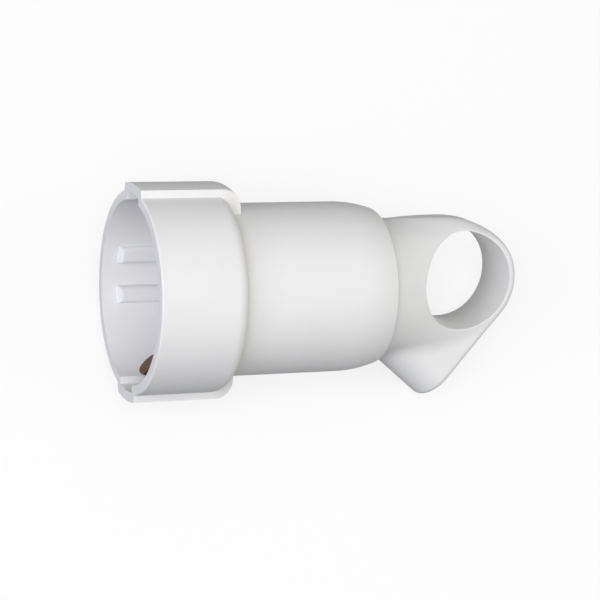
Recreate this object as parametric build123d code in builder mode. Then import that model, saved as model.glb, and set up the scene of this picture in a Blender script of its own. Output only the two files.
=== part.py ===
import os
from math import cos, radians, sin, sqrt, tan

from build123d import *

# Angled trailing socket with a finger ring, in millimetres.
# Every piece is drawn about the plug axis: X runs from the mouth to the ring, Z is up, Y is across.
# At the end one placement lays the whole socket down as it comes to rest.

# Plug recess and collar
recess_radius = 19.75
recess_depth = 17.5
collar_wall = 2.13
collar_back = 2.1
collar_round = 2.6
rim_round = 0.4
floor_thickness = 3.0

# Barrel
barrel_radius = 18.65
barrel_wall_share = 0.652
barrel_length = 55.1
shoulder_length = 8.7
shoulder_drop_share = 0.4833
barrel_edge_round = 0.5

# Raised channels over the earth clips
channel_width = 8.0
channel_depth = 1.5
bump_height = 1.51
bump_top_width = 10.4
bump_draft = 10.0
bump_length = 22.1
bump_round = 3.6

# Guide ribs in the recess
rib_spacing = 8.9
rib_width = 3.7
rib_height = 1.75
rib_setback = 3.6
rib_round_share = 0.8

# Pin holes
pin_spacing = 19.0
pin_radius = 2.4
pin_clearance = 0.3

# Neck, finger ring and cable spout
neck_clearance = 0.3
neck_tuck = 2.1
contact_room = 1.05
neck_hollow_length = 8.0
neck_hollow_end_radius = 9.0
neck_step = 0.06
tail_overrun = 3.23
ring_distance = 22.98
ring_z = 1.88
ring_bore_radius = 10.45
ring_bore_swell = 45.0
ring_wall = 2.34
ring_edge_share = 0.85
ring_rim_share = 0.14
spout_angle = 40.0
valley_lead = 4.0
spout_half_width = 6.6
spout_root = 7.0
spout_inset = 0.5
spout_rise = 3.0
spout_overrun = 1.0
cable_radius = 4.3
cable_run_in = 4.0
valley_round = 6.5

# Sections of the neck from the barrel to the tail: share of the way, of the narrowing,
# of the depth below the plug axis and of the height above it
neck_sections = (
    (0.2308, 0.697, 1.0163, 0.9643),
    (0.4615, 0.3657, 1.127, 1.0618),
    (0.6923, 0.1257, 1.2313, 1.2042),
    (1.0, 0.04, 1.3355, 1.3351),
)

# Contact insert
insert_clearance = 0.2
retainer_thickness = 2.0
sleeve_wall = 0.65
sleeve_depth = 12.0
sleeve_slit = 0.7
sleeve_clearance = 0.05
seat_width = 0.75
seat_length = 2.0
seat_clearance = 0.1
post_radius = 3.2
post_clearance = 0.15
post_length = 7.0
post_gap = 0.6
wire_radius = 1.6
wire_depth = 5.5
spring_thickness = 0.35
spring_width = 3.0
spring_position = 3.0
spring_gap = 1.2
spring_clearance = 0.1
spring_play = 0.05

# Earth strap and its clips
strap_thickness = 0.8
strap_width = 4.4
strap_room = 0.35
strap_bend = 1.2
strap_hub_radius = 5.0
strap_clearance = 0.2
clip_straight_end = 13.5
clip_contact_x = 8.2
clip_contact_inset = 5.55
clip_tip_x = 3.6
clip_tip_inset = 1.85
clip_corner_round = 1.6
earth_post_z = -9.0
rivet_radius = 1.2
rivet_clearance = 0.05

# Screws
screw_radius = 1.75
screw_clearance = 0.15
screw_head_radius = 3.2
screw_head_height = 2.2
screw_slot_width = 0.9
screw_slot_depth = 0.9
terminal_screw_radius = 1.25
terminal_head_radius = 2.2
terminal_head_height = 1.7
thread_clearance = 0.05

# Screw web and cord clamp inside the neck
web_setback = 7.4
web_length = 7.0
web_radius = 4.0
nut_radius = 2.9
nut_length = 6.0
nut_clearance = 0.05
clamp_setback = 3.8
clamp_length = 5.0
clamp_thickness = 1.8
clamp_height = -4.6
clamp_span = 12.0
clamp_boss_radius = 2.4
clamp_arch_radius = 3.6
clamp_arch_depth = 0.9
clamp_screw_depth = 4.8

# Resting attitude: rolled onto its side until the spout touches down, then mouth up on collar and barrel
rest_roll = 60.23
rest_pitch = 6.01

# Sizes that follow from those above
collar_radius = recess_radius + collar_wall
bump_radius = collar_radius + bump_height
collar_length = recess_depth + collar_back
floor_back = recess_depth + floor_thickness
pin_y = pin_spacing / 2
neck_bore = pin_y + post_radius + contact_room
barrel_wall = barrel_wall_share * (barrel_radius - neck_clearance - neck_bore)
barrel_bore = barrel_radius - barrel_wall
shoulder_start = barrel_length - shoulder_length
shoulder_drop = shoulder_drop_share * barrel_wall
neck_radius = barrel_bore - neck_clearance
neck_start = barrel_length - neck_tuck
ring_x = neck_start + ring_distance
ring_radius = ring_bore_radius + ring_wall
neck_run = ring_distance + ring_radius + tail_overrun
ring_bore_flare = ring_bore_swell - sqrt(ring_bore_swell**2 - spout_half_width**2)
ring_rim_width = ring_wall - ring_bore_flare
hole_mouth = ring_bore_radius + ring_bore_swell - sqrt(ring_bore_swell**2 - neck_radius**2)
ring_edge_round = ring_edge_share * ring_rim_width
ring_rim_round = ring_rim_share * ring_rim_width
insert_radius = barrel_bore - insert_clearance
web_front = neck_start - web_setback
clamp_x = neck_start - clamp_setback
post_back = web_front - post_gap
insert_back = post_back - post_length
block_back = insert_back - retainer_thickness
block_length = block_back - floor_back
strap_back = floor_back + strap_thickness
sleeve_bore = pin_radius + sleeve_clearance
sleeve_radius = sleeve_bore + sleeve_wall
spring_bore = sleeve_radius + spring_play
spring_radius = spring_bore + spring_thickness
sleeve_hole = spring_radius + spring_clearance
seat_radius = sleeve_hole + seat_width
terminal_x = post_back - wire_depth / 2
strap_radius = barrel_bore - strap_room - strap_thickness / 2
clip_contact_radius = recess_radius - clip_contact_inset
clip_tip_radius = recess_radius - clip_tip_inset
clamp_seat = clamp_height - clamp_thickness
clamp_half_span = clamp_span / 2
spout_sine = sin(radians(spout_angle))
spout_cosine = cos(radians(spout_angle))
underside = (ring_distance - valley_lead) * spout_sine + (ring_z + neck_radius) * spout_cosine
spout_offset = underside - spout_half_width
spout_direction = Vector(spout_cosine, 0, -spout_sine)
ring_centre = Vector(ring_x, 0, ring_z)
ring_plane = Plane(ring_centre, x_dir=spout_direction, z_dir=(0, -1, 0))
spout_start = ring_plane.from_local_coords((-spout_root, -spout_offset, 0))
spout_plane = Plane(spout_start, x_dir=(0, 1, 0), z_dir=spout_direction)
spout_length = spout_root + ring_radius
ring_top = ring_z + ring_radius
end_plane_top = ring_plane.from_local_coords((ring_radius, 0, 0))
end_plane_foot = ring_plane.from_local_coords((ring_radius, -spout_offset - 2 * spout_half_width, 0))


# A plane square to the plug axis, with Y to the right and Z up
def across(x):
    return Plane.YZ.offset(x)


# A slotted pan-head screw that stands on the plane: head above it, shank below
def slotted_screw(seat, shank_radius, shank_length, head_radius, head_height):
    with BuildPart() as screw:
        with BuildSketch(seat):
            Circle(head_radius)
        extrude(amount=head_height)
        fillet(screw.faces().sort_by(Axis(seat.origin, seat.z_dir))[-1].edges(), radius=head_height / 3)
        with BuildSketch(seat):
            Circle(shank_radius)
        extrude(amount=-shank_length)
        with BuildSketch(seat.offset(head_height)):
            Rectangle(3 * head_radius, screw_slot_width)
        extrude(amount=-screw_slot_depth, mode=Mode.SUBTRACT)
    return screw.part


# Raised channels above and below the collar, with drafted flanks and a rounded rear end
with BuildPart() as clip_channels:
    flank_foot = bump_top_width / 2 + bump_radius * tan(radians(bump_draft))
    with BuildSketch(across(0)):
        with BuildLine():
            Polyline(
                (bump_top_width / 2, bump_radius),
                (flank_foot, 0),
                (bump_top_width / 2, -bump_radius),
                (-bump_top_width / 2, -bump_radius),
                (-flank_foot, 0),
                (-bump_top_width / 2, bump_radius),
                close=True,
            )
        make_face()
    extrude(amount=bump_length)
    with BuildSketch(Plane.XZ):
        with BuildLine():
            Polyline((bump_length, bump_radius - bump_round), (bump_length, 0), (0, 0), (0, bump_radius))
            Line((0, bump_radius), (bump_length - bump_round, bump_radius))
            RadiusArc(
                (bump_length - bump_round, bump_radius),
                (bump_length, bump_radius - bump_round),
                bump_round,
            )
        make_face()
    revolve(axis=Axis.X, mode=Mode.INTERSECT)

# Front housing: collar, recess floor and barrel in one moulding
with BuildPart() as front_housing:
    with BuildSketch(Plane.XZ):
        with BuildLine():
            Line((0, 0), (0, collar_radius - rim_round))
            RadiusArc((0, collar_radius - rim_round), (rim_round, collar_radius), rim_round)
            Line((rim_round, collar_radius), (collar_length - collar_round, collar_radius))
            RadiusArc(
                (collar_length - collar_round, collar_radius),
                (collar_length, collar_radius - collar_round),
                collar_round,
            )
            Line((collar_length, collar_radius - collar_round), (collar_length, barrel_radius))
            Line((collar_length, barrel_radius), (shoulder_start, barrel_radius))
            shoulder = TangentArc(
                (shoulder_start, barrel_radius),
                (barrel_length, barrel_radius - shoulder_drop),
                tangent=(1, 0),
            )
            Polyline(shoulder @ 1, (barrel_length, 0), (0, 0))
        make_face()
    revolve(axis=Axis.X)
    fillet(front_housing.faces().sort_by(Axis.X)[-1].edges(), radius=barrel_edge_round)
    add(clip_channels.part)

    # Recess for the plug, widened into a channel over each earth clip
    with BuildSketch(across(0)):
        Circle(recess_radius + channel_depth)
        Rectangle(channel_width, 2 * bump_radius, mode=Mode.INTERSECT)
        Circle(recess_radius)
    extrude(amount=recess_depth, mode=Mode.SUBTRACT)

    # Guide ribs on both sides
    rib_face = sqrt(recess_radius**2 - (rib_spacing / 2) ** 2) - rib_height
    rib_foot = recess_radius + collar_wall / 2
    rib_side = sqrt(recess_radius**2 - ((rib_spacing + rib_width) / 2) ** 2) - rib_face
    with BuildSketch(across(rib_setback)):
        with GridLocations(rib_face + rib_foot, rib_spacing, 2, 2):
            Rectangle(rib_foot - rib_face, rib_width)
    extrude(amount=recess_depth - rib_setback)
    rib_edges = front_housing.edges(Select.LAST).filter_by(
        lambda edge: abs(abs(edge.center().Y) - rib_face) < 0.01 and edge.center().X < recess_depth - 0.01
    )
    fillet(rib_edges, radius=rib_round_share * rib_side)

    # Room behind the floor for the contact insert and the neck
    with BuildSketch(across(floor_back)):
        Circle(barrel_bore)
    extrude(amount=barrel_length - floor_back, mode=Mode.SUBTRACT)

    # Holes in the floor: two for the pins, one for the screw and two for the earth clips
    slot_inner = strap_radius - strap_bend - strap_clearance
    slot_outer = strap_radius + strap_thickness / 2 + strap_clearance
    with BuildSketch(across(recess_depth)):
        with GridLocations(pin_spacing, 0, 2, 1):
            Circle(pin_radius + pin_clearance)
        Circle(screw_radius + screw_clearance)
        with GridLocations(0, slot_inner + slot_outer, 1, 2):
            Rectangle(strap_width + 2 * strap_clearance, slot_outer - slot_inner)
    extrude(amount=floor_thickness, mode=Mode.SUBTRACT)
    with BuildSketch(across(recess_depth)):
        Circle(screw_head_radius + screw_clearance)
    extrude(amount=screw_head_height, mode=Mode.SUBTRACT)

# Neck: a round root that flows into the flat sides of the finger ring
with BuildPart() as neck:
    with BuildSketch(across(neck_start)):
        Ellipse(neck_radius - 2 * neck_step, neck_radius - neck_step)
    for way, narrowing, depth, height in neck_sections:
        section_foot = -depth * neck_radius
        section_top = height * neck_radius
        with BuildSketch(across(neck_start + way * neck_run)):
            with Locations((0, (section_top + section_foot) / 2)):
                Ellipse(
                    spout_half_width + narrowing * (neck_radius - spout_half_width),
                    (section_top - section_foot) / 2,
                )
    loft()

# Cable spout: flat sides that run up into the ring and a round underside
with BuildPart() as spout:
    with BuildSketch(spout_plane.offset(-cable_run_in)):
        Circle(spout_half_width)
        with Locations((0, (spout_offset + spout_rise) / 2)):
            Rectangle(2 * spout_half_width, spout_offset + spout_rise)
    extrude(amount=cable_run_in + spout_length + spout_overrun)
    split(bisect_by=across(neck_start + spout_inset), keep=Keep.TOP)

# Hollow of the neck, less the screw web that hangs from its roof and the two clamp bosses on its floor
with BuildPart() as neck_hollow:
    with BuildSketch(Plane.XZ):
        with BuildLine():
            Polyline(
                (insert_back, 0),
                (insert_back, neck_bore),
                (neck_start, neck_bore),
                (neck_start + neck_hollow_length, neck_hollow_end_radius),
                (neck_start + neck_hollow_length, 0),
                close=True,
            )
        make_face()
    revolve(axis=Axis.X)
    with BuildSketch(across(web_front)):
        Circle(web_radius)
        with Locations((0, neck_radius / 2)):
            Rectangle(2 * web_radius, neck_radius)
    extrude(amount=web_length, mode=Mode.SUBTRACT)
    with BuildSketch(Plane.XY.offset(clamp_seat)):
        with Locations((clamp_x, clamp_half_span), (clamp_x, -clamp_half_span)):
            Circle(clamp_boss_radius)
    extrude(amount=-neck_radius, mode=Mode.SUBTRACT)

# Ring body: neck, ring and spout in one moulding, with a spigot that plugs into the barrel
with BuildPart() as ring_body:
    add(neck.part)
    add(spout.part)
    fillet(new_edges(neck.part, spout.part, combined=ring_body.part), radius=valley_round)

    # Side outline: level crown, round ring, and a square end tangent to it
    with BuildSketch(Plane.XZ):
        with BuildLine():
            crown = Line((neck_start, ring_top), (ring_x, ring_top))
            CenterArc((ring_x, ring_z), ring_radius, 90, -90 - spout_angle)
            Polyline(
                (end_plane_top.X, end_plane_top.Z),
                (end_plane_foot.X, end_plane_foot.Z),
                (neck_start, end_plane_foot.Z),
                crown @ 0,
            )
        make_face()
    extrude(amount=2 * neck_radius, both=True, mode=Mode.INTERSECT)
    crown_face = ring_body.faces().filter_by(Axis.Z).sort_by(Axis.Z)[-1]
    round_face = ring_body.faces().filter_by(GeomType.CYLINDER).sort_by(Axis.X)[-1]
    end_face = ring_body.faces().sort_by(Axis(spout_start, spout_direction))[-1]
    outline = crown_face.edges() + round_face.edges() + end_face.edges()
    fillet(outline.filter_by(Axis.Y, reverse=True), radius=ring_edge_round)

    # Finger hole through the ring, waisted towards the parting line at mid depth
    with BuildSketch(Plane(ring_centre)):
        with BuildLine():
            waist = (ring_bore_radius, 0)
            hole_side = ThreePointArc((hole_mouth, neck_radius), waist, (hole_mouth, -neck_radius))
            Polyline(hole_side @ 1, (0, -neck_radius), (0, neck_radius), hole_side @ 0)
        make_face()
    revolve(axis=Axis(ring_centre, (0, 1, 0)), mode=Mode.SUBTRACT)
    fillet(ring_body.edges(Select.LAST).filter_by(GeomType.BSPLINE), radius=ring_rim_round)
    with BuildSketch(across(insert_back)):
        Circle(neck_radius)
    extrude(amount=neck_start - insert_back)

    # Cable way from the square end into the hollow neck
    with BuildSketch(spout_plane.offset(-cable_run_in)):
        Circle(cable_radius)
    extrude(amount=cable_run_in + spout_length, mode=Mode.SUBTRACT)
    add(neck_hollow.part, mode=Mode.SUBTRACT)

    # Seat for the screw nut and holes for the clamp screws
    with BuildSketch(across(web_front)):
        Circle(nut_radius + nut_clearance)
    extrude(amount=nut_length, mode=Mode.SUBTRACT)
    with BuildSketch(Plane.XY.offset(clamp_seat)):
        with Locations((clamp_x, clamp_half_span), (clamp_x, -clamp_half_span)):
            Circle(terminal_screw_radius + thread_clearance)
    extrude(amount=-clamp_screw_depth, mode=Mode.SUBTRACT)

# Contact block: the insulating carrier of the contacts, with a shallow seat for the earth strap
with BuildPart() as contact_block:
    with BuildSketch(across(floor_back)):
        Circle(insert_radius)
        with GridLocations(pin_spacing, 0, 2, 1):
            Circle(sleeve_hole, mode=Mode.SUBTRACT)
        Circle(screw_radius + screw_clearance, mode=Mode.SUBTRACT)
        with Locations((0, earth_post_z)):
            Circle(post_radius + post_clearance, mode=Mode.SUBTRACT)
    extrude(amount=block_length)
    with BuildSketch(across(floor_back)):
        Rectangle(strap_width + 2 * strap_clearance, 2 * barrel_bore)
        Circle(strap_hub_radius + strap_clearance)
    extrude(amount=strap_thickness, mode=Mode.SUBTRACT)
    with BuildSketch(across(block_back)):
        with GridLocations(pin_spacing, 0, 2, 1):
            Circle(seat_radius)
    extrude(amount=-seat_length, mode=Mode.SUBTRACT)

# Contact retainer: the plate that closes the block and holds the contacts in their seats
with BuildPart() as contact_retainer:
    with BuildSketch(across(block_back)):
        Circle(insert_radius)
        with GridLocations(pin_spacing, 0, 2, 1):
            Circle(post_radius + post_clearance, mode=Mode.SUBTRACT)
        Circle(screw_radius + screw_clearance, mode=Mode.SUBTRACT)
        with Locations((0, earth_post_z)):
            Circle(post_radius + post_clearance, mode=Mode.SUBTRACT)
    extrude(amount=retainer_thickness)


# A turned contact: slit sleeve in front, seat collar, and a terminal post with its wire hole
def turned_contact(y):
    with BuildPart() as contact:
        with BuildSketch(across(floor_back)):
            with Locations((y, 0)):
                Circle(sleeve_radius)
        extrude(amount=block_length)
        with BuildSketch(across(block_back - seat_length)):
            with Locations((y, 0)):
                Circle(seat_radius - seat_clearance)
        extrude(amount=seat_length)
        with BuildSketch(across(block_back)):
            with Locations((y, 0)):
                Circle(post_radius)
        extrude(amount=post_back - block_back)
        with BuildSketch(across(floor_back)):
            with Locations((y, 0)):
                Circle(sleeve_bore)
        extrude(amount=sleeve_depth, mode=Mode.SUBTRACT)
        with BuildSketch(across(floor_back)):
            with Locations((y, 0)):
                Rectangle(3 * sleeve_radius, sleeve_slit)
        extrude(amount=sleeve_depth - seat_length, mode=Mode.SUBTRACT)
        with BuildSketch(across(post_back)):
            with Locations((y, 0)):
                Circle(wire_radius)
        extrude(amount=-wire_depth, mode=Mode.SUBTRACT)
        with BuildSketch(Plane.XY):
            with Locations((terminal_x, y)):
                Circle(terminal_screw_radius + thread_clearance)
        extrude(amount=2 * post_radius, mode=Mode.SUBTRACT)
    return contact


# A split spring ring that keeps a contact sleeve closed on its pin
def sleeve_spring(y):
    with BuildPart() as spring:
        with BuildSketch(across(floor_back + spring_position)):
            with Locations((y, 0)):
                Circle(spring_radius)
                Circle(spring_bore, mode=Mode.SUBTRACT)
            with Locations((y, sleeve_radius)):
                Rectangle(spring_gap, 2 * sleeve_radius, mode=Mode.SUBTRACT)
        extrude(amount=spring_width)
    return spring


live_contact = turned_contact(-pin_y)
neutral_contact = turned_contact(pin_y)
live_sleeve_spring = sleeve_spring(-pin_y)
neutral_sleeve_spring = sleeve_spring(pin_y)

# Earth strap: one strip across the insert whose ends bend forward into the two sprung clips
with BuildPart() as earth_strap:
    strap_mid = floor_back + strap_thickness / 2
    bend_end = strap_mid - strap_bend
    with BuildSketch(Plane.XZ):
        with BuildLine() as strip:
            Line((strap_mid, 0), (strap_mid, strap_radius - strap_bend))
            TangentArc((strap_mid, strap_radius - strap_bend), (bend_end, strap_radius), tangent=(0, 1))
            Line((bend_end, strap_radius), (clip_straight_end, strap_radius))
            Spline(
                (clip_straight_end, strap_radius),
                (clip_contact_x, clip_contact_radius),
                (clip_tip_x, clip_tip_radius),
                tangents=((-1, 0), (-1, 2)),
            )
        trace(strip.wires()[0], line_width=strap_thickness)
    extrude(amount=strap_width / 2, both=True)
    tip_edges = earth_strap.edges().filter_by(lambda edge: abs(edge.length - strap_thickness) < 0.01)
    fillet(tip_edges.sort_by(Axis.X)[:2], radius=clip_corner_round)
    mirror(about=Plane.XY)
    with BuildSketch(across(floor_back)):
        Circle(strap_hub_radius)
    extrude(amount=strap_thickness)
    with BuildSketch(across(floor_back)):
        Circle(screw_radius + screw_clearance)
        with Locations((0, earth_post_z)):
            Circle(rivet_radius + rivet_clearance)
    extrude(amount=strap_thickness, mode=Mode.SUBTRACT)

# Earth terminal: a post riveted to the strap
with BuildPart() as earth_terminal:
    with BuildSketch(across(strap_back)):
        with Locations((0, earth_post_z)):
            Circle(post_radius)
    extrude(amount=post_back - strap_back)
    with BuildSketch(across(floor_back)):
        with Locations((0, earth_post_z)):
            Circle(rivet_radius)
    extrude(amount=strap_thickness)
    with BuildSketch(across(post_back)):
        with Locations((0, earth_post_z)):
            Circle(wire_radius)
    extrude(amount=-wire_depth, mode=Mode.SUBTRACT)
    with BuildSketch(Plane.ZX):
        with Locations((earth_post_z, terminal_x)):
            Circle(terminal_screw_radius + thread_clearance)
    extrude(amount=2 * post_radius, mode=Mode.SUBTRACT)

# Terminal screws: one for each contact and one for the earth
with BuildPart() as terminal_screws:
    for seat_plane in (
        Plane((terminal_x, -pin_y, post_radius)),
        Plane((terminal_x, pin_y, post_radius)),
        Plane((terminal_x, post_radius, earth_post_z), x_dir=(1, 0, 0), z_dir=(0, 1, 0)),
    ):
        add(
            slotted_screw(
                seat_plane,
                terminal_screw_radius,
                post_radius - wire_radius / 2,
                terminal_head_radius,
                terminal_head_height,
            )
        )

# Centre screw from the recess floor into the nut in the neck
with BuildPart() as centre_screw:
    add(
        slotted_screw(
            Plane((recess_depth + screw_head_height, 0, 0), x_dir=(0, 1, 0), z_dir=(-1, 0, 0)),
            screw_radius,
            web_front + nut_length - recess_depth - screw_head_height,
            screw_head_radius,
            screw_head_height,
        )
    )

# Nut pressed into the screw web
with BuildPart() as screw_nut:
    with BuildSketch(across(web_front)):
        Circle(nut_radius)
        Circle(screw_radius + thread_clearance, mode=Mode.SUBTRACT)
    extrude(amount=nut_length)

# Cord clamp: an arched bar across the two bosses
with BuildPart() as cord_clamp:
    with BuildSketch(across(clamp_x - clamp_length / 2)):
        with Locations((0, clamp_seat + clamp_thickness / 2)):
            Rectangle(clamp_span + 2 * clamp_boss_radius, clamp_thickness)
        with Locations((0, clamp_seat - clamp_arch_radius + clamp_arch_depth)):
            Circle(clamp_arch_radius, mode=Mode.SUBTRACT)
    extrude(amount=clamp_length)
    with BuildSketch(Plane.XY.offset(clamp_height)):
        with Locations((clamp_x, clamp_half_span), (clamp_x, -clamp_half_span)):
            Circle(terminal_screw_radius + screw_clearance)
    extrude(amount=-clamp_thickness, mode=Mode.SUBTRACT)

# Screws of the cord clamp
with BuildPart() as cord_clamp_screws:
    for side in (-clamp_half_span, clamp_half_span):
        add(
            slotted_screw(
                Plane((clamp_x, side, clamp_height)),
                terminal_screw_radius,
                clamp_thickness + clamp_screw_depth,
                terminal_head_radius,
                terminal_head_height,
            )
        )

pieces = {
    "front_housing": front_housing,
    "ring_body": ring_body,
    "contact_block": contact_block,
    "contact_retainer": contact_retainer,
    "live_contact": live_contact,
    "neutral_contact": neutral_contact,
    "live_sleeve_spring": live_sleeve_spring,
    "neutral_sleeve_spring": neutral_sleeve_spring,
    "earth_strap": earth_strap,
    "earth_terminal": earth_terminal,
    "terminal_screws": terminal_screws,
    "centre_screw": centre_screw,
    "screw_nut": screw_nut,
    "cord_clamp": cord_clamp,
    "cord_clamp_screws": cord_clamp_screws,
}

# Lay the socket down with its lowest point at zero height and the origin under its middle
turned = Rot(Y=rest_pitch) * Rot(X=-rest_roll)
extent = Compound([piece.part.moved(turned) for piece in pieces.values()]).bounding_box()
lying = Pos(-extent.center().X, -extent.center().Y, -extent.min.Z) * turned

os.makedirs("parts", exist_ok=True)
for name, piece in pieces.items():
    piece.part.location = lying
    piece.part.label = name
    export_step(piece.part, f"parts/{name}.step")
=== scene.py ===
import math

import bmesh
import bpy
import numpy as np
from mathutils import Matrix, Vector


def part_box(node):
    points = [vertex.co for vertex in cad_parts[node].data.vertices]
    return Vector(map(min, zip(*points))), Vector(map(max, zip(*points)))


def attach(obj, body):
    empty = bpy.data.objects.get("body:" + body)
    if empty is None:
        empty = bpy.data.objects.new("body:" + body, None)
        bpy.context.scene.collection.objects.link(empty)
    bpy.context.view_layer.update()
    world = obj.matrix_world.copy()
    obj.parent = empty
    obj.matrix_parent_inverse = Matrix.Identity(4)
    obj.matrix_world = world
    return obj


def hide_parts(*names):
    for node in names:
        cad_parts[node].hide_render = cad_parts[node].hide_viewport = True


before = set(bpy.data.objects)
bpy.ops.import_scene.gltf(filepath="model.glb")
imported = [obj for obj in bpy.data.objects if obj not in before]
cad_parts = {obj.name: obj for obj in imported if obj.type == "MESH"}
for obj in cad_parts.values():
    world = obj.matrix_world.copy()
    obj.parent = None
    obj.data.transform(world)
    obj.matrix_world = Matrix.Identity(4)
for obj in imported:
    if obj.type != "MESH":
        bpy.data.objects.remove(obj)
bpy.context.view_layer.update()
print("frame loaded:", len(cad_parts), "nodes")

perMetre = 1000  # sizes are given in mm, the scene is in metres

# how the socket lies: rolled about the plug axis, then mouth up; sizes along the axis in mm
lying = {"roll": 60.23, "pitch": 6.01, "nutMiddle": 48.6}

turn = (
    Matrix.Rotation(math.radians(lying["pitch"]), 3, "Y")
    @ Matrix.Rotation(math.radians(-lying["roll"]), 3, "X")
)
plugAxis = turn @ Vector((1, 0, 0))
sideAxis = turn @ Vector((0, 1, 0))
topAxis = turn @ Vector((0, 0, 1))
nutLow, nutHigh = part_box("screw_nut")
mouth = (nutLow + nutHigh) / 2 - turn @ Vector((lying["nutMiddle"], 0, 0)) / perMetre


# a point given along, across and above the plug axis in mm, as a place in the scene
def fromPlug(x, y, z):
    return mouth + turn @ Vector((x, y, z)) / perMetre


# the ring body with its crown rolled over softly, in mm about the middle of the finger hole;
# pairs say where a change along or above it begins and ends, cuts are first, end and step
ringForm = {
    "middle": (75.98, 0.0, 1.88),
    "radius": 12.79,
    "halfWidth": 6.2,
    "roll": 4.0,
    "rollBegins": (-26, -6),
    "rollEnds": (4, 13.5),
    "rollAbove": (1, 5),
    "rollFullness": 0.94,
    "leastRoll": 0.0001,
    "rise": 0.6,
    "riseEnds": (-4, 5),
    "fall": 0.3,
    "fallBegins": (-4, 7),
    "cutsAlong": (-24.0, 13.5, 0.9),
    "cutsUp": (7.0, 12.7, 0.35),
    "slopeStep": 0.01,
    "onPlane": 1e-7,  # metres
    "weld": 1e-6,  # metres
}


def smoothStep(value, low, high):
    share = np.clip((value - low) / (high - low), 0, 1)
    return share * share * (3 - 2 * share)


# where each point goes when the crown's edges roll in and its top swells
def rollCrown(points):
    forward, across, upward = points.T
    reach = np.hypot(np.maximum(forward, 0), np.maximum(upward, 0))
    width = ringForm["roll"] * smoothStep(forward, *ringForm["rollBegins"])
    width = width * (1 - smoothStep(forward, *ringForm["rollEnds"]))
    width = width * smoothStep(upward, *ringForm["rollAbove"]) + ringForm["leastRoll"]
    past = np.clip((reach - ringForm["radius"]) / width + 1, 0, 1)
    inset = width * (1 - np.sqrt(1 - ringForm["rollFullness"] * past * past))
    flank = across / ringForm["halfWidth"]
    swell = ringForm["rise"] * (1 - smoothStep(forward, *ringForm["riseEnds"]))
    swell = swell - ringForm["fall"] * smoothStep(forward, *ringForm["fallBegins"])
    lift = swell * past * past * width / ringForm["roll"]
    return np.column_stack((forward, across - flank * inset, upward + lift))


# how the roll stretches and tilts the space around each point
def rollSlopes(points):
    step = ringForm["slopeStep"]
    ways = [
        (rollCrown(points + step * way) - rollCrown(points - step * way)) / (2 * step)
        for way in np.eye(3)
    ]
    return np.stack(ways, axis=2)


# one kind of number in a mesh, as rows
def rowsOf(data, name, width, kind):
    values = np.empty(len(data) * width, dtype=kind)
    data.foreach_get(name, values)
    return values.reshape(-1, width)


# cut the faces across the crown, so that they can bend
def cutFiner(mesh, middle):
    work = bmesh.new()
    work.from_mesh(mesh)
    for direction, cuts in ((plugAxis, "cutsAlong"), (topAxis, "cutsUp")):
        for cut in np.arange(*ringForm[cuts]):
            bmesh.ops.bisect_plane(
                work,
                geom=[*work.verts, *work.edges, *work.faces],
                dist=ringForm["onPlane"],
                plane_co=middle + direction * float(cut) / perMetre,
                plane_no=direction,
            )
    # hair-thin slivers close up before and after the faces become triangles
    bmesh.ops.remove_doubles(work, verts=work.verts[:], dist=ringForm["weld"])
    bmesh.ops.triangulate(work, faces=work.faces[:])
    bmesh.ops.remove_doubles(work, verts=work.verts[:], dist=ringForm["weld"])
    work.to_mesh(mesh)
    work.free()


def softenRing():
    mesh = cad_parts["ring_body"].data.copy()
    mesh.name = "soft_ring"
    # the moulded surface's own normals go along while its faces are cut finer
    moulded = rowsOf(mesh.corner_normals, "vector", 3, np.float32)
    carrier = mesh.attributes.new("moulded", "FLOAT_VECTOR", "CORNER")
    carrier.data.foreach_set("vector", moulded.ravel())
    middle = fromPlug(*ringForm["middle"])
    cutFiner(mesh, middle)
    axes = np.array(turn)
    centre = np.array(middle)
    points = (rowsOf(mesh.vertices, "co", 3, np.float64) - centre) @ axes * perMetre
    normals = rowsOf(mesh.attributes["moulded"].data, "vector", 3, np.float32) @ axes
    owner = rowsOf(mesh.loops, "vertex_index", 1, np.int32)[:, 0]
    tilts = np.linalg.inv(rollSlopes(points))[owner]
    normals = np.einsum("nji,nj->ni", tilts, normals) @ axes.T
    normals = normals / np.linalg.norm(normals, axis=1, keepdims=True)
    places = centre + rollCrown(points) @ axes.T / perMetre
    mesh.vertices.foreach_set("co", places.ravel())
    mesh.attributes.remove(mesh.attributes["moulded"])
    mesh.update()
    mesh.shade_smooth()
    mesh.normals_split_custom_set(normals.tolist())
    piece = bpy.data.objects.new("soft_ring", mesh)
    bpy.context.scene.collection.objects.link(piece)
    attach(piece, "root")
    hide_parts("ring_body")
    print("ring softened:", len(mesh.polygons), "faces")
    return piece


softRing = softenRing()


# one number or colour on its way to a shader; sums on it add Math nodes
class Flow:
    def __init__(self, paint, socket):
        self.paint = paint
        self.socket = socket

    def maths(self, operation, *values):
        inputs = dict(enumerate(values))
        return self.paint.add("ShaderNodeMath", {"operation": operation}, inputs)["Value"]

    def __add__(self, other):
        return self.maths("ADD", self, other)

    def __radd__(self, other):
        return self.maths("ADD", other, self)

    def __sub__(self, other):
        return self.maths("SUBTRACT", self, other)

    def __rsub__(self, other):
        return self.maths("SUBTRACT", other, self)

    def __mul__(self, other):
        return self.maths("MULTIPLY", self, other)

    def __rmul__(self, other):
        return self.maths("MULTIPLY", other, self)

    def __abs__(self):
        return self.maths("ABSOLUTE", self)

    def __lt__(self, other):
        return self.maths("LESS_THAN", self, other)

    def __gt__(self, other):
        return self.maths("GREATER_THAN", self, other)


# a node's outputs by name or number
class Made:
    def __init__(self, paint, node):
        self.paint = paint
        self.node = node

    def __getitem__(self, name):
        return Flow(self.paint, self.node.outputs[name])


noiseMiddle = 0.5  # what a noise gives on average
mixColours = {"factor": 0, "first": 6, "second": 7, "result": 2}  # the Mix node's colour sockets


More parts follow.
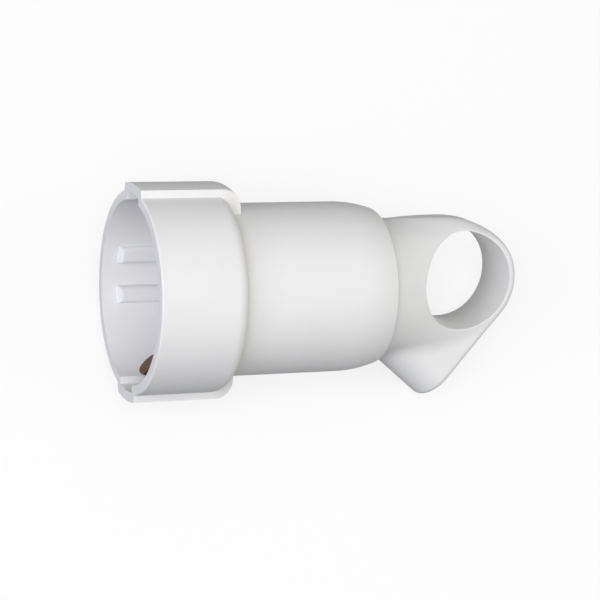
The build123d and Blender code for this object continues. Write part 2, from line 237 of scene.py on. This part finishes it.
# one material or world and the nodes put into it
class Paint:
    def __init__(self, owner):
        owner.use_nodes = True
        self.owner = owner
        self.tree = owner.node_tree
        self.tree.nodes.clear()

    def add(self, kind, settings=None, inputs=None):
        node = self.tree.nodes.new(kind)
        for name, value in (settings or {}).items():
            if name == "stops":
                self.setStops(node, value)
            else:
                setattr(node, name, value)
        for name, value in (inputs or {}).items():
            if isinstance(value, Flow):
                self.tree.links.new(value.socket, node.inputs[name])
            else:
                node.inputs[name].default_value = value
        return Made(self, node)

    def setStops(self, node, stops):
        for element, (place, colour) in zip(node.color_ramp.elements, stops):
            element.position = place
            element.color = (*colour, 1)

    def noise(self, where, scale, detail, roughness):
        inputs = {"Vector": where, "Scale": scale, "Detail": detail, "Roughness": roughness}
        return self.add("ShaderNodeTexNoise", {"noise_dimensions": "3D"}, inputs)["Fac"]

    # from one colour to another between two places of the value
    def ramp(self, value, places, first, second):
        stops = list(zip(places, (first, second)))
        return self.add("ShaderNodeValToRGB", {"stops": stops}, {"Fac": value})["Color"]

    def blendColours(self, factor, first, second):
        settings = {"data_type": "RGBA", "blend_type": "MIX"}
        inputs = {
            mixColours["factor"]: factor,
            mixColours["first"]: first,
            mixColours["second"]: second,
        }
        return self.add("ShaderNodeMix", settings, inputs)[mixColours["result"]]

    def place(self):
        return self.add("ShaderNodeTexCoord")["Object"]

    # how far a place lies from a middle point along one direction
    def along(self, where, middle, direction):
        apart = {0: where, 1: middle}
        offset = self.add("ShaderNodeVectorMath", {"operation": "SUBTRACT"}, apart)["Vector"]
        pair = {0: offset, 1: direction}
        return self.add("ShaderNodeVectorMath", {"operation": "DOT_PRODUCT"}, pair)["Value"]

    # 0 below the first value, 1 above the second, smooth between
    def fade(self, value, low, high):
        settings = {"interpolation_type": "SMOOTHSTEP"}
        inputs = {"Value": value, "From Min": low, "From Max": high}
        return self.add("ShaderNodeMapRange", settings, inputs)["Result"]

    def surface(self, inputs, bumpHeight, bumpDepth):
        bump = self.add("ShaderNodeBump", {}, {"Height": bumpHeight, "Distance": bumpDepth})
        inputs = {**inputs, "Normal": bump["Normal"]}
        shader = self.add("ShaderNodeBsdfPrincipled", {}, inputs)["BSDF"]
        self.add("ShaderNodeOutputMaterial", {}, {"Surface": shader})
        return self.owner


def newPaint(name):
    return Paint(bpy.data.materials.new(name))


# fine raised moulding line round the finger hole at mid depth, lighter in tone as a painted
# highlight; in mm
mouldingLineAndHighlight = {"width": 0.16, "height": 0.03, "reach": 11.6, "tone": (0.92, 0.92, 0.92)}


# 1 on the line, 0 beside it and outside the hole
def lineMask(paint, where):
    middle = fromPlug(*ringForm["middle"])
    forward = paint.along(where, middle, plugAxis) * perMetre
    across = paint.along(where, middle, sideAxis) * perMetre
    upward = paint.along(where, middle, topAxis) * perMetre
    near = 1 - paint.fade(abs(across), mouldingLineAndHighlight["width"] / 2, mouldingLineAndHighlight["width"])
    return near * (forward * forward + upward * upward < mouldingLineAndHighlight["reach"] ** 2)


# satin white moulding of the two shells, with a fine spark-eroded grain and painted shade in the
# corners of their seams; lengths in mm, noises here and below as scale, detail and roughness
whiteShell = {
    "lightTone": (0.875, 0.875, 0.872),
    "deepTone": (0.84, 0.84, 0.837),
    "toneStops": (0.3, 0.7),
    # painted shade: the darker, warmer tone put into the corners of the seams
    "seamTone": (0.79, 0.775, 0.73),
    "seamShare": 0.75,
    "seamCore": 0.2,
    "clouds": (55.0, 4.0, 0.55),
    "grain": (2600.0, 2.0, 0.6),
    "grainDepth": 0.01,
    "roughness": 0.58,
    "roughnessSpread": 0.08,
    "specular": 0.18,
    "front": {"name": "white_shell", "seamAt": 20.0, "seamWidth": 2.4, "hasLine": False},
    "ring": {"name": "white_ring_shell", "seamAt": 54.6, "seamWidth": 3.4, "hasLine": True},
}


def shellPaint(part):
    sizes = whiteShell[part]
    paint = newPaint(sizes["name"])
    where = paint.place()
    clouds = paint.noise(where, *whiteShell["clouds"])
    grain = paint.noise(where, *whiteShell["grain"])
    tones = whiteShell["deepTone"], whiteShell["lightTone"]
    colour = paint.ramp(clouds, whiteShell["toneStops"], *tones)
    # painted shade: a little darker and warmer in the corner of the seam, where shade falls
    seam = fromPlug(sizes["seamAt"], 0, 0)
    fromSeam = abs(paint.along(where, seam, plugAxis) * perMetre)
    beside = paint.fade(fromSeam, whiteShell["seamCore"], sizes["seamWidth"])
    paintedSeamShade = (1 - beside) * whiteShell["seamShare"]
    colour = paint.blendColours(paintedSeamShade, colour, (*whiteShell["seamTone"], 1))
    height = grain * whiteShell["grainDepth"]
    if sizes["hasLine"]:
        line = lineMask(paint, where)
        # painted highlight: the raised line is given a lighter tone than the shell
        colour = paint.blendColours(line, colour, (*mouldingLineAndHighlight["tone"], 1))
        height = height + line * mouldingLineAndHighlight["height"]
    uneven = (clouds - noiseMiddle) * whiteShell["roughnessSpread"]
    return paint.surface(
        {
            "Base Color": colour,
            "Roughness": whiteShell["roughness"] + uneven,
            "Specular IOR Level": whiteShell["specular"],
        },
        height,
        1 / perMetre,
    )


# dull bronze strip of the earth clips, its brown darkened with painted shade, rolled along its
# length; depth in metres
bronzeStrip = {
    # painted shade: both tones are bronze's own brown, made far darker for the shade the clips
    # sit in
    "darkTone": (0.045, 0.022, 0.012),
    "warmTone": (0.185, 0.094, 0.052),
    "toneStops": (0.32, 0.68),
    "stretch": (60.0, 900.0, 900.0),
    "streaks": (1.0, 3.0, 0.5),
    "streakShare": 0.45,
    "streakDepth": 0.00001,
    "blotches": (260.0, 4.0, 0.6),
    "blotchShare": 0.55,
    "metallic": 0.9,
    "roughness": 0.45,
    "roughnessSpread": 0.3,
}


def bronzePaint():
    paint = newPaint("bronze_strip_painted_shade")
    where = paint.place()
    stretched = {"Vector": where, "Scale": bronzeStrip["stretch"]}
    drawnOut = paint.add("ShaderNodeMapping", {}, stretched)["Vector"]
    streaks = paint.noise(drawnOut, *bronzeStrip["streaks"])
    blotches = paint.noise(where, *bronzeStrip["blotches"])
    mixed = streaks * bronzeStrip["streakShare"] + blotches * bronzeStrip["blotchShare"]
    tones = bronzeStrip["darkTone"], bronzeStrip["warmTone"]
    colour = paint.ramp(mixed, bronzeStrip["toneStops"], *tones)
    uneven = (blotches - noiseMiddle) * bronzeStrip["roughnessSpread"]
    return paint.surface(
        {
            "Base Color": colour,
            "Metallic": bronzeStrip["metallic"],
            "Roughness": bronzeStrip["roughness"] + uneven,
        },
        streaks,
        bronzeStrip["streakDepth"],
    )


# plain insulating moulding of the contact insert and the clamp bar; depth in metres
insertMoulding = {
    "insert_moulding": (0.74, 0.72, 0.66),
    "clamp_moulding": (0.09, 0.09, 0.095),
    "dimShare": 0.86,
    "toneStops": (0.3, 0.7),
    "clouds": (140.0, 4.0, 0.5),
    "grain": (1800.0, 2.0, 0.5),
    "grainDepth": 0.000012,
    "roughness": 0.52,
    "roughnessSpread": 0.12,
}


def insertPaint(name):
    paint = newPaint(name)
    where = paint.place()
    clouds = paint.noise(where, *insertMoulding["clouds"])
    grain = paint.noise(where, *insertMoulding["grain"])
    tone = insertMoulding[name]
    dim = tuple(part * insertMoulding["dimShare"] for part in tone)
    uneven = (clouds - noiseMiddle) * insertMoulding["roughnessSpread"]
    return paint.surface(
        {
            "Base Color": paint.ramp(clouds, insertMoulding["toneStops"], dim, tone),
            "Roughness": insertMoulding["roughness"] + uneven,
        },
        grain,
        insertMoulding["grainDepth"],
    )


# turned and plated metal: fine rings of the tool, light and dark patches; depth in metres
metals = {
    "turned_brass": {"dark": (0.5, 0.34, 0.13), "light": (0.76, 0.58, 0.27), "roughness": 0.3},
    "plated_steel": {"dark": (0.42, 0.42, 0.43), "light": (0.68, 0.68, 0.69), "roughness": 0.33},
    "toneStops": (0.3, 0.7),
    "patches": (320.0, 4.0, 0.6),
    "patchShare": 0.7,
    "toolMarks": (9000.0, 1.0, 0.5),
    "markShare": 0.3,
    "markDepth": 0.000006,
    "roughnessSpread": 0.2,
}


def metalPaint(name):
    sizes = metals[name]
    paint = newPaint(name)
    where = paint.place()
    patches = paint.noise(where, *metals["patches"])
    axial = paint.along(where, mouth, plugAxis)
    lengthwise = paint.add("ShaderNodeCombineXYZ", {}, {"X": axial})["Vector"]
    toolMarks = paint.noise(lengthwise, *metals["toolMarks"])
    mixed = patches * metals["patchShare"] + toolMarks * metals["markShare"]
    uneven = (patches - noiseMiddle) * metals["roughnessSpread"]
    return paint.surface(
        {
            "Base Color": paint.ramp(mixed, metals["toneStops"], sizes["dark"], sizes["light"]),
            "Metallic": 1.0,
            "Roughness": sizes["roughness"] + uneven,
        },
        toolMarks,
        metals["markDepth"],
    )


shell = shellPaint("front")
ringShell = shellPaint("ring")
bronze = bronzePaint()
blockPlastic = insertPaint("insert_moulding")
clampPlastic = insertPaint("clamp_moulding")
brass = metalPaint("turned_brass")
steel = metalPaint("plated_steel")

finishes = {
    "front_housing": shell,
    "earth_strap": bronze,
    "contact_block": blockPlastic,
    "contact_retainer": blockPlastic,
    "live_contact": brass,
    "neutral_contact": brass,
    "earth_terminal": brass,
    "screw_nut": brass,
    "live_sleeve_spring": steel,
    "neutral_sleeve_spring": steel,
    "terminal_screws": steel,
    "centre_screw": steel,
    "cord_clamp_screws": steel,
    "cord_clamp": clampPlastic,
}


def giveFinish(piece, finish):
    piece.data.materials.clear()
    piece.data.materials.append(finish)


for node, finish in finishes.items():
    giveFinish(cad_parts[node], finish)
giveFinish(softRing, ringShell)
print("finishes given to", len(finishes) + 1, "pieces")

# pale floor, white to the camera and grey to the bounce, with a soft shadow kept; in metres
floorSheet = {
    "half": 3.0,
    "seenTone": (0.94, 0.94, 0.94),
    "bounceTone": (0.12, 0.12, 0.125),
    "dimShare": 0.985,
    "toneStops": (0.3, 0.7),
    "clouds": (3.0, 2.0, 0.5),
    "whiteShare": 0.8,
}
white = (1, 1, 1, 1)


def floorPaint():
    paint = newPaint("pale_floor")
    clouds = paint.noise(paint.place(), *floorSheet["clouds"])
    sheets = {}
    for name in ("seenTone", "bounceTone"):
        tone = floorSheet[name]
        dim = tuple(part * floorSheet["dimShare"] for part in tone)
        colour = paint.ramp(clouds, floorSheet["toneStops"], dim, tone)
        sheets[name] = paint.add("ShaderNodeBsdfDiffuse", {}, {"Color": colour})["BSDF"]
    glow = paint.add("ShaderNodeEmission", {}, {"Color": white, "Strength": 1.0})["Emission"]
    ray = paint.add("ShaderNodeLightPath")
    seen = (ray["Is Camera Ray"] + ray["Is Glossy Ray"] + ray["Is Transmission Ray"]) > 0.5
    pale = {"Fac": floorSheet["whiteShare"], 1: sheets["seenTone"], 2: glow}
    paleSheet = paint.add("ShaderNodeMixShader", {}, pale)["Shader"]
    either = {"Fac": seen, 1: sheets["bounceTone"], 2: paleSheet}
    sheet = paint.add("ShaderNodeMixShader", {}, either)["Shader"]
    paint.add("ShaderNodeOutputMaterial", {}, {"Surface": sheet})
    return paint.owner


def layFloor():
    half = floorSheet["half"]
    mesh = bpy.data.meshes.new("floor")
    corners = [(-half, -half, 0), (half, -half, 0), (half, half, 0), (-half, half, 0)]
    mesh.from_pydata(corners, [], [(0, 1, 2, 3)])
    floor = bpy.data.objects.new("floor", mesh)
    bpy.context.scene.collection.objects.link(floor)
    mesh.materials.append(floorPaint())


layFloor()

# studio: dim room, a large soft lamp beside the camera, a cool one before the mouth and
# two warm ones; places about the plug axis in mm, lamp size in metres
studio = {
    "roomTone": (0.236, 0.2435, 0.253),
    "aimAt": (42, 0, 0),
    "distance": 900,
    "size": 0.7,
    "lamps": [
        {"name": "key", "from": (-39, -90, 20), "power": 4.06, "tone": (1.0, 0.99, 0.985)},
        {"name": "left", "from": (-90, -40, 10), "power": 3.48, "tone": (0.87, 0.88, 1.0)},
        {"name": "right", "from": (75, -65, 10), "power": 2.26, "tone": (1.0, 0.985, 0.92)},
        {"name": "above", "from": (0, -50, 87), "power": 0.54, "tone": (1.0, 0.94, 0.8)},
    ],
}


# the room lights the part dimly and is white to the camera
def paintRoom():
    world = bpy.data.worlds.new("studio")
    bpy.context.scene.world = world
    paint = Paint(world)
    dim = {"Color": (*studio["roomTone"], 1), "Strength": 1.0}
    bright = {"Color": white, "Strength": 1.0}
    room = paint.add("ShaderNodeBackground", {}, dim)["Background"]
    backdrop = paint.add("ShaderNodeBackground", {}, bright)["Background"]
    seen = paint.add("ShaderNodeLightPath")["Is Camera Ray"]
    mixed = paint.add("ShaderNodeMixShader", {}, {"Fac": seen, 1: room, 2: backdrop})["Shader"]
    paint.add("ShaderNodeOutputWorld", {}, {"Surface": mixed})


def hangLamps():
    middle = fromPlug(*studio["aimAt"])
    for sizes in studio["lamps"]:
        lamp = bpy.data.lights.new(sizes["name"], "AREA")
        lamp.shape = "DISK"
        lamp.size = studio["size"]
        lamp.energy = sizes["power"]
        lamp.color = sizes["tone"]
        holder = bpy.data.objects.new(sizes["name"], lamp)
        bpy.context.scene.collection.objects.link(holder)
        away = (turn @ Vector(sizes["from"])).normalized()
        holder.location = middle + away * studio["distance"] / perMetre
        holder.rotation_euler = away.to_track_quat("Z", "Y").to_euler()


paintRoom()
hangLamps()
print("floor and lamps set")

# camera as the picture was taken: angles about the plug axis, distances and sensor in mm,
# focal length, centre and picture in pixels
pictureView = {
    "swing": 23.446,
    "lift": 11.476,
    "lean": 3.106,
    "distance": 482.45,
    "target": (45.0, 0.0, 0.0),
    "focal": 2197.45,
    "centre": (324.795, 286.42),
    "picture": 600.0,
    "sensor": 36,
    "clipStart": 0.01,  # metres
}


def setCamera():
    angles = (pictureView[name] for name in ("swing", "lift", "lean"))
    swing, lift, lean = map(math.radians, angles)
    flat = math.cos(lift)
    back = Vector((-math.sin(swing) * flat, -math.cos(swing) * flat, math.sin(lift)))
    level = Vector((math.cos(swing), -math.sin(swing), 0))
    upright = back.cross(level)
    right = math.cos(lean) * level + math.sin(lean) * upright
    upward = -math.sin(lean) * level + math.cos(lean) * upright
    place = Vector(pictureView["target"]) + pictureView["distance"] * back
    # aim through the middle of the picture, so that the lens needs no shift
    half = pictureView["picture"] / 2
    aside = (half - pictureView["centre"][0]) / pictureView["focal"]
    below = (half - pictureView["centre"][1]) / pictureView["focal"]
    ray = -back + right * aside - upward * below
    aim = ray.normalized()
    right = (right - aim * right.dot(aim)).normalized()
    upward = right.cross(aim)
    camera = bpy.data.cameras.new("picture_camera")
    camera.sensor_width = pictureView["sensor"]
    pixelSize = pictureView["sensor"] / pictureView["picture"]
    camera.lens = pictureView["focal"] * pixelSize * ray.length
    camera.clip_start = pictureView["clipStart"]
    holder = bpy.data.objects.new("picture_camera", camera)
    bpy.context.scene.collection.objects.link(holder)
    axes = Matrix((turn @ right, turn @ upward, turn @ -aim)).transposed()
    holder.matrix_world = Matrix.Translation(fromPlug(*place)) @ axes.to_4x4()
    bpy.context.scene.camera = holder


setCamera()
bpy.context.scene.view_settings.view_transform = "Standard"
print("camera set")
